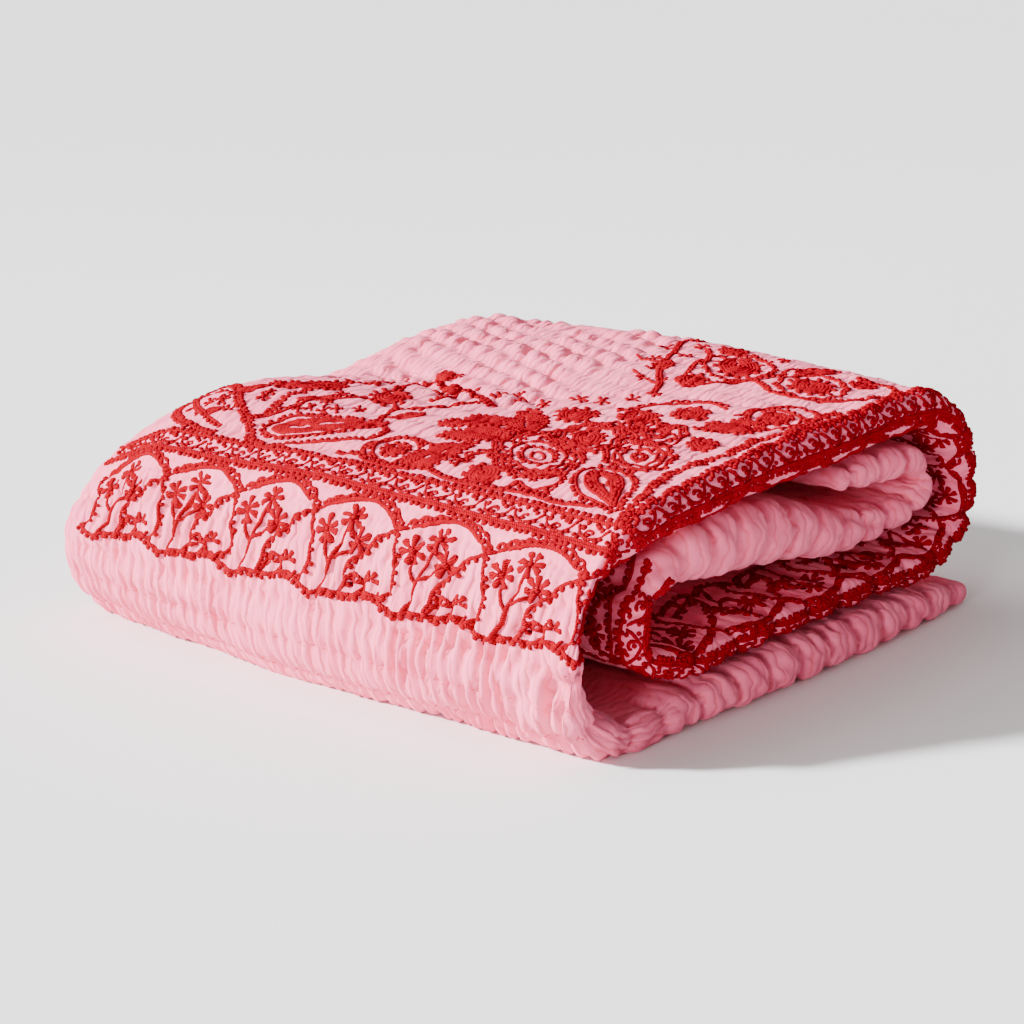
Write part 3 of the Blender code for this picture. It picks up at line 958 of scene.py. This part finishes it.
# Rows that fill a form, in millimetres: width, distance, the first one's place in a drop and the last ring's
# radius in a rosette, and the points of a ring. A rosette's filling and petals as shares of its radius, its
# dot's size and height, and its petals' widest and height.
FILL_WIDTH, FILL_GAP, FIRST_ROW, LAST_RING, RING_POINTS = 3.3, 3.0, 1.5, 1.8, 14
ROSETTE_FILL, ROSETTE_PETALS, ROSETTE_HEART = 0.70, 0.66, (4.8, 1.9)
PETAL_SHARE, PETAL_WIDEST, PETAL_HEIGHT = 0.78, 6.6, 1.8


def rosette(piece, chart, radius, petals):
    """A flower filled with rings of chain stitch and edged with round petals."""
    ring = radius * ROSETTE_FILL
    while ring > LAST_RING:
        piece.line(circle(ring, RING_POINTS), chart, FILL_WIDTH, closed=True, jitter=0.3)
        ring -= FILL_GAP
    piece.dot(chart([(0.0, 0.0)])[0], *ROSETTE_HEART)
    width = min(2 * math.pi * radius / petals * PETAL_SHARE, PETAL_WIDEST)
    for k in range(petals):
        out = direction(360 * k / petals + math.degrees(piece.random.uniform(-0.08, 0.08)))
        base, tip = chart([out * radius * ROSETTE_PETALS, out * radius])
        piece.petal(base, tip, width, PETAL_HEIGHT)


DROP_SHAPE = ((-0.02, 0.0), (0.06, 0.33), (0.22, 0.5), (0.45, 0.46), (0.68, 0.3), (0.86, 0.14), (1.0, 0.0))
DROP_CENTRE, RIM_WIDTH = 0.38, 2.6
# Dots along vines and rims: distance, pitch and size. Those of rings: pitch and size.
DOT_OUT, VINE_DOTS, RING_DOTS = 2.8, (6.0, 4.4), (6.4, 4.0)
# A small hook in shares of its size: outwards and along. Pitch and size of the hooks of vines and rings.
HOOK = ((0.0, 0.0), (0.6, -0.1), (1.0, 0.35), (0.75, 0.85), (0.35, 0.65))
HOOK_WIDTH, VINE_HOOKS, RING_HOOKS = 2.4, (9.0, 6.5), (10.0, 7.0)


def drop_outline(length, width, bend, inset):
    """Points of a bent drop, drawn in by inset: its round end at 0, its tip at length."""
    centre = DROP_CENTRE * length
    points = []
    for side, shape in ((1, DROP_SHAPE), (-1, DROP_SHAPE[-2:0:-1])):
        for share, half in shape:
            x, y = share * length, half * width * side
            keep = max(1 - inset / max(math.hypot(x - centre, y), 1e-6), 0.0)
            points.append((centre + (x - centre) * keep, y * keep + bend * length * share**2))
    return points


def drop(piece, chart, length, width, bend, rims):
    """A paisley drop filled with rows of chain stitch; each rim is its distance out and its dots' side."""
    for inset in np.arange(FIRST_ROW, 0.5 * width, FILL_GAP):
        piece.line(drop_outline(length, width, bend, inset), chart, FILL_WIDTH, closed=True, jitter=0.2)
    for out, side in rims:
        rim = piece.line(drop_outline(length, width, bend, -out), chart, RIM_WIDTH, closed=True, jitter=0.3)
        piece.picots(rim, side * DOT_OUT, *VINE_DOTS)


def curls(piece, path, pitch, size, side):
    """Small hooks along one side of a path in the chart."""
    along, normals = path_lengths(path), path_normals(path) * side
    for at in np.arange(0.5 * pitch, along[-1] - 0.3 * pitch, pitch):
        k = int(np.argmin(np.abs(along - at)))
        out, ahead = normals[k], np.array([normals[k][1], -normals[k][0]])
        piece.thread(smooth_path([path[k] + size * (out * a + ahead * b) for a, b in HOOK]), HOOK_WIDTH)


# Flowers are longer along this direction in the chart, in degrees. Small ones by this much, with petals of
# these widths in the field and on the fold. Vines and rings have one width.
LOOK, FLOWER_STRETCH, FIELD_PETAL, FOLD_PETAL, VINE_WIDTH = 40.0, 1.2, 4.2, 5.5, 2.7
# Filled flowers, in millimetres: s along the middle line, v from the front tip, reach, petals, stretch.
ROSETTES = (
    (728, 182, 19, 11, 1.1), (829, 160, 17, 12, 1.55), (858, 68, 14, 10, 1.2), (880, 213, 21, 12, 1.25),
    (900, 163, 20, 12, 1.4), (927, 130, 18, 11, 1.3), (950, 62, 16, 10, 1.4), (1013, 186, 14, 9, 1.3),
    (1067, 177, 24, 13, 1.6), (1053, 92, 23, 13, 1.35), (1090, 64, 13, 9, 1.2), (1112, 215, 15, 9, 1.2),
    (838, 385, 20, 13, 1.7), (942, 410, 10, 8, 1.3), (738, 284, 14, 10, 1.15), (760, 560, 9, 8, 1.1),
    (866, 252, 12, 9, 1.2), (1032, 232, 10, 8, 1.2), (880, 120, 10, 8, 1.3),
)
# Drops: s and v of the round end, then of the tip, width, bend, rims as distance out and side of the dots.
DROPS = (
    (762, 95, 722, 50, 20, 0.0, ((4.5, -1), (12.5, 1))),
    (721, 254, 776, 228, 32, 0.1, ((0.5, 1),)),
    (836, 248, 800, 294, 32, 0.05, ((0.5, 1),)),
    (802, 224, 776, 272, 30, -0.05, ((0.5, 1),)),
    (856, 248, 812, 211, 29, 0.0, ((0.5, 1),)),
    (926, 62, 888, 96, 30, 0.0, ((0.5, 1),)),
    (836, 441, 794, 478, 30, 0.0, ((0.5, 1),)),
    (736, 420, 766, 334, 30, 0.12, ((7, 1),)),
    (766, 506, 786, 476, 12, 0.2, ()),
    (730, 500, 748, 488, 11, 0.1, ()),
    (1082, 128, 1110, 104, 16, 0.0, ()),
    (800, 415, 782, 440, 12, 0.1, ()),
    (878, 372, 906, 340, 13, 0.1, ()),
    (812, 320, 790, 345, 12, 0.1, ()),
)
# Small open flowers: s, v, reach, petals, turn.
SMALL_FLOWERS = (
    (898, 312, 10, 6, 0), (892, 284, 8, 5, 30), (897, 262, 8, 5, 10), (924, 244, 10, 6, 0),
    (927, 222, 8, 5, 20), (946, 204, 8, 5, 0), (910, 300, 7, 5, 0), (1020, 236, 8, 5, 0),
    (1048, 256, 9, 6, 0), (1068, 236, 8, 6, 0), (992, 226, 8, 5, 0), (1120, 262, 9, 6, 0),
    (943, 396, 7, 5, 0), (1086, 270, 9, 6, 0), (1104, 243, 8, 6, 30), (964, 192, 7, 5, 0),
    (905, 408, 8, 6, 0), (869, 298, 7, 5, 10), (866, 312, 7, 5, 0), (772, 470, 8, 6, 10),
    (752, 500, 7, 5, 0), (735, 135, 7, 6, 0), (722, 112, 6, 5, 0), (1000, 212, 7, 5, 0),
    (1110, 160, 7, 5, 0), (1098, 190, 7, 5, 0), (749, 512, 7, 5, 0), (756, 500, 6, 5, 20),
    (744, 484, 7, 5, 0), (733, 508, 6, 5, 0), (742, 528, 6, 5, 0), (780, 470, 6, 5, 0),
    (766, 422, 6, 4, 0), (774, 416, 6, 4, 20), (787, 410, 6, 4, 0), (782, 393, 6, 4, 0),
    (750, 401, 6, 4, 0), (758, 396, 6, 4, 20), (768, 395, 6, 4, 0), (870, 466, 6, 5, 0),
    (904, 467, 6, 5, 0), (887, 436, 7, 5, 0), (919, 442, 6, 5, 0), (799, 485, 6, 5, 0),
    (795, 380, 7, 5, 0), (775, 402, 7, 5, 0), (812, 418, 7, 5, 0), (745, 214, 7, 6, 0),
    (912, 96, 8, 6, 0),
)
# Vines: side of the dots (0 for none, 2 for both), side of the curls, then points (s, v).
VINES = (
    (1, 0, ((716, 330), (722, 300), (714, 268), (719, 236), (714, 208), (712, 168), (716, 130),
      (713, 96), (717, 60))),
    (2, 0, ((708, 28), (745, 36), (785, 46), (820, 42), (850, 36), (890, 40), (925, 30), (960, 34),
      (1000, 34))),
    (1, 0, ((776, 236), (758, 258), (761, 284), (752, 305), (734, 313), (716, 300), (711, 272),
      (714, 246))),
    (-1, 0, ((710, 150), (726, 146), (722, 128), (730, 112), (742, 116), (748, 134), (742, 150))),
    (0, 1, ((730, 214), (748, 218), (760, 208), (758, 190), (744, 176), (738, 158))),
    (2, 0, ((708, 462), (712, 490), (722, 520), (742, 548), (766, 560), (784, 552), (788, 530),
      (776, 506), (760, 488), (748, 470), (738, 452), (724, 436), (711, 424))),
    (1, 0, ((722, 468), (730, 496), (746, 524), (764, 538), (772, 528), (766, 512))),
    (1, 0, ((711, 424), (707, 396), (720, 372), (730, 345), (744, 322), (764, 318), (774, 330))),
    (2, 0, ((731, 455), (749, 443), (779, 450), (802, 448), (824, 452), (846, 464), (864, 450),
      (872, 430))),
    (0, 1, ((740, 444), (762, 430), (790, 425), (806, 408), (822, 395))),
    (2, 0, ((862, 400), (888, 416), (916, 408), (906, 382), (898, 358), (886, 328), (869, 298))),
    (-1, 0, ((768, 336), (792, 350), (814, 356), (830, 336), (850, 324), (866, 312))),
    (1, 0, ((850, 350), (872, 344), (892, 350), (912, 344))),
    (1, 0, ((990, 184), (1012, 163), (1036, 143), (1028, 126), (1017, 110), (1014, 88), (1022, 64),
      (1038, 42), (1064, 26), (1092, 30), (1106, 50), (1104, 78))),
    (-1, 0, ((994, 176), (1004, 200), (1030, 206), (1052, 214), (1080, 218), (1100, 236))),
    (1, 0, ((960, 196), (985, 202), (1004, 216), (1030, 232), (1056, 243), (1082, 254), (1104, 264),
      (1120, 272))),
    (0, 0, ((985, 202), (992, 226), (1004, 246))),
    (0, 0, ((1030, 232), (1034, 254), (1044, 272))),
    (1, 0, ((934, 24), (960, 30), (984, 40), (994, 60), (984, 80), (962, 92), (936, 94))),
    (0, 1, ((905, 190), (930, 178), (950, 156), (958, 132), (952, 110))),
    (-1, 0, ((1036, 150), (1060, 134), (1086, 140), (1102, 128), (1116, 104))),
    (0, 1, ((842, 196), (862, 178), (872, 154), (868, 130))),
    (0, 1, ((850, 180), (858, 150), (850, 128), (836, 116))),
    (0, 0, ((806, 206), (834, 190), (858, 160), (870, 128), (866, 100))),
    (0, 0, ((798, 212), (822, 204), (846, 184))),
    (1, 0, ((700, 26), (686, 15), (664, 11), (640, 10), (620, 14))),
)
# Rings: s, v, radius, turn, stretch, scallops, depth of the scallops, side of the dots, side of the curls.
RINGS = (
    (777, 170, 34, 50, 1.65, 11, 0.05, -1, 0), (777, 170, 29.5, 50, 1.7, 11, 0.04, 0, -1),
    (776, 168, 21, 50, 1.75, 9, 0.05, 0, -1), (776, 168, 12, 50, 1.9, 0, 0.0, -1, 0),
    (776, 168, 5, 50, 2.2, 0, 0.0, 0, 0), (829, 160, 22.5, 40, 1.5, 10, 0.05, 0, 0),
    (829, 160, 27, 40, 1.45, 10, 0.06, -1, 0), (808, 92, 25, 50, 1.35, 9, 0.05, -1, 0),
    (808, 92, 20, 50, 1.4, 0, 0.0, 0, 0), (808, 92, 14, 50, 1.4, 7, 0.06, 0, -1),
    (808, 92, 6, 50, 1.5, 0, 0.0, 1, 0), (864, 118, 25, 40, 1.3, 9, 0.06, 0, 0),
    (864, 118, 19, 40, 1.35, 0, 0.0, -1, 0), (864, 118, 11, 40, 1.4, 6, 0.06, 1, 0),
    (864, 118, 4, 40, 1.5, 0, 0.0, 0, 0), (738, 284, 19, 40, 1.2, 0, 0.0, -1, 0),
    (950, 62, 21, 40, 1.35, 0, 0.0, -1, 0), (1067, 177, 29, 40, 1.5, 10, 0.05, -1, 0),
    (1053, 92, 28, 40, 1.3, 10, 0.05, -1, 0),
)


# The work on the outer side of the inner fold, in the same columns.
FOLD_VINES = (
    (1, 0, ((1716, 26), (1732, 34), (1750, 30), (1768, 38), (1786, 34), (1800, 44))),
    (-1, 0, ((1726, 40), (1736, 62), (1750, 76), (1768, 72), (1778, 56), (1790, 52))),
    (2, 0, ((1738, 40), (1752, 52), (1764, 50), (1776, 44))),
    (1, 0, ((1772, 76), (1788, 84), (1800, 74))),
)
FOLD_FLOWERS = (
    (1750, 46, 11, 7, 0), (1770, 56, 9, 6, 0), (1736, 30, 8, 6, 0), (1786, 66, 9, 6, 10),
    (1752, 88, 10, 7, 0),
)


def along_middle(points):
    """The chart of points given as s and v."""
    return np.stack([u_at(points[:, 0]), points[:, 1]], axis=1)


def vines(piece, rows):
    for side, curl, points in rows:
        path = piece.line(points, along_middle, VINE_WIDTH, jitter=0.6)
        for way in (1, -1) if side == 2 else (side,):
            if way:
                piece.picots(path, way * DOT_OUT, *VINE_DOTS)
        if curl:
            curls(piece, path, *VINE_HOOKS, curl)


def flowers(piece, rows, turn, stretch, width):
    for s, v, *row in rows:
        flower(piece, stretched(s, v, turn, stretch), 0, 0, *row, width)


def field(piece):
    """The flowers, drops, vines and rings of the field."""
    for s, v, reach, petals, stretch in ROSETTES:
        rosette(piece, stretched(s, v, LOOK, stretch), reach, petals)
    for s, v, tip_s, tip_v, *row in DROPS:
        length, turn = math.hypot(tip_s - s, tip_v - v), math.degrees(math.atan2(tip_v - v, tip_s - s))
        drop(piece, stretched(s, v, turn, 1.0), length, *row)
    flowers(piece, SMALL_FLOWERS, LOOK, FLOWER_STRETCH, FIELD_PETAL)
    vines(piece, VINES)
    for s, v, radius, turn, stretch, scallops, depth, side, curl in RINGS:
        points = circle(radius, max(RING_POINTS, 4 * scallops), scallops, depth)
        path = piece.line(points, stretched(s, v, turn, stretch), VINE_WIDTH, closed=True, jitter=0.3)
        if side:
            piece.picots(path, side * DOT_OUT, *RING_DOTS)
        if curl:
            curls(piece, path, *RING_HOOKS, curl)


# Running stitches in the rows, in millimetres: length, width, height and distance along the row, where they
# begin and end, and how many slanted rows there may be.
DASH, DASH_WIDTH, DASH_HEIGHT, DASH_PITCH = 3.6, 0.75, 0.55, 7.0
DASH_FROM, DASH_TO, SLANTED_ROWS = 14.0, BACK_LIMIT - 4.0, 60


def dash(piece, u, v, slant):
    v += piece.random.uniform(-1, 1)
    path = np.array([(u + slant * k, v + k) for k in np.linspace(-DASH / 2, DASH / 2, 4)])
    piece.thread(path, DASH_WIDTH, DASH_HEIGHT)


def running_stitches(piece):
    """Short stitches along the rows of the left face and along the slanted rows of the plain top."""
    v = np.arange(DASH_FROM, DASH_TO, DASH_PITCH)
    low, high = PLACE["left_low"] - 0.005, PLACE["left_middle"] + 0.004
    for s in STITCH_ROWS[(STITCH_ROWS > low) & (STITCH_ROWS < high)]:
        for at in v:
            dash(piece, u_at(s / MM), at, 0.0)
    gap = ROW_GAP * math.hypot(1, SLANT) / MM
    for k in range(SLANTED_ROWS):
        for at in v:
            s = k * gap + SLANT * at
            if plain_share(np.array(s * MM), np.array(at * MM)) > 0.6:
                dash(piece, u_at(s), at, SLANT)


# Everything is put together. In millimetres: where the border bands start and end, and the first arch's
# foot. Then the numbers of the arches, counted from that one.

LEFT_BAND, FRONT_BAND = (-2.0, 640.0), (24.0, u_at(1790))
FIRST_FOOT, LEFT_ARCHES, INNER_ARCHES = 30.0, range(7), range(-2, 12)


def left_arches(piece):
    for k in LEFT_ARCHES:
        arch(piece, left_chart(FIRST_FOOT + CELL * k))


def inner_arches(piece):
    """The arches under the top's front edge, and the work on the inner fold."""
    for k in INNER_ARCHES:
        arch(piece, inner_chart(FIRST_FOOT + CELL * k))
    vines(piece, FOLD_VINES)
    flowers(piece, FOLD_FLOWERS, 0, 1.0, FOLD_PETAL)


cotton, yarn = cloth_material(), wool_material()

cloth = build_cloth(cotton)
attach(cloth, "root")
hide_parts("bedspread_quilt")

for name, seed, inward, draw in (
    ("embroidery_left_arches", 11, 1, left_arches),
    ("embroidery_left_border", 12, 1, lambda piece: band(piece, left_band_chart, *LEFT_BAND)),
    ("embroidery_front_border", 13, -1, lambda piece: band(piece, front_band_chart, *FRONT_BAND)),
    ("embroidery_inner_arches", 14, 1, inner_arches),
    ("embroidery_field", 15, 1, field),
):
    work = Embroidery(name, seed, inward)
    draw(work)
    work.finish(yarn)

stitches = Embroidery("running_stitches", 16)
running_stitches(stitches)
stitches.finish(stitch_material())


# The stage: a pale floor, soft studio light and the camera.

CAMERA_PLACE = (-1.6699, -1.3898, 0.6954)
CAMERA_AZIMUTH, CAMERA_ELEVATION = -50.0, 15.46
CAMERA_LENS, SENSOR = 90.63, 36.0
FLOOR_SIZE, FLOOR_GRAIN = 40.0, 30.0
FLOOR_DEEP, FLOOR_PALE = (0.90, 0.90, 0.90), (0.93, 0.93, 0.93)
KEY_FROM, KEY_STRENGTH, KEY_ANGLE = (-0.66, 0.58, 0.44), 14.0, 6.0
SIDE_FROM, SIDE_STRENGTH, SIDE_ANGLE = (-0.94, -0.22, 0.16), 2.0, 12.0
TOP_FROM, TOP_TARGET, TOP_ENERGY, TOP_SIZE = (-0.6, 0.9, 2.4), (0, 0, 0.1), 30.0, 2.0
WORLD_COLOUR, WORLD_STRENGTH = (1, 0.96, 0.94, 1), 0.38


def build_floor():
    material, tree, shader = base_material("floor_paint")
    grain = add(tree, "TexNoise", {"Scale": FLOOR_GRAIN}).outputs["Fac"]
    connect(tree, shader, ramp(tree, grain, (0.0, FLOOR_DEEP), (1.0, FLOOR_PALE)), Roughness=0.9)
    half = FLOOR_SIZE / 2
    corners = [(-half, -half, 0), (half, -half, 0), (half, half, 0), (-half, half, 0)]
    floor = new_object("floor", corners, [(0, 1, 2, 3)], material)
    floor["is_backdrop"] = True


def build_aimed(name, data, place_at, target):
    """A camera or light at one place that looks at another."""
    obj = bpy.data.objects.new(name, data)
    obj.location = place_at
    obj.rotation_mode = "QUATERNION"
    obj.rotation_quaternion = (Vector(target) - obj.location).to_track_quat("-Z", "Y")
    bpy.context.scene.collection.objects.link(obj)
    return obj


def build_light(name, kind, place_at, target, energy):
    data = bpy.data.lights.new(name, kind)
    data.energy = energy
    build_aimed(name, data, place_at, target)
    return data


def build_camera():
    data = bpy.data.cameras.new("camera")
    data.sensor_width, data.lens = SENSOR, CAMERA_LENS
    azimuth, elevation = math.radians(CAMERA_AZIMUTH), math.radians(CAMERA_ELEVATION)
    flat = math.cos(elevation)
    ahead = (-math.sin(azimuth) * flat, math.cos(azimuth) * flat, -math.sin(elevation))
    target = Vector(CAMERA_PLACE) + Vector(ahead)
    bpy.context.scene.camera = build_aimed("camera", data, CAMERA_PLACE, target)


def build_world():
    world = bpy.data.worlds.new("studio")
    world.use_nodes = True
    background = world.node_tree.nodes["Background"]
    background.inputs["Color"].default_value = WORLD_COLOUR
    background.inputs["Strength"].default_value = WORLD_STRENGTH
    bpy.context.scene.world = world


build_floor()
build_light("key", "SUN", KEY_FROM, (0, 0, 0), KEY_STRENGTH).angle = math.radians(KEY_ANGLE)
build_light("side", "SUN", SIDE_FROM, (0, 0, 0), SIDE_STRENGTH).angle = math.radians(SIDE_ANGLE)
build_light("top", "AREA", TOP_FROM, TOP_TARGET, TOP_ENERGY).size = TOP_SIZE
build_camera()
build_world()

boxes = {"cad": cad_box, "visual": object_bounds()}
{name: [list(corner) for corner in box] for name, box in boxes.items()}
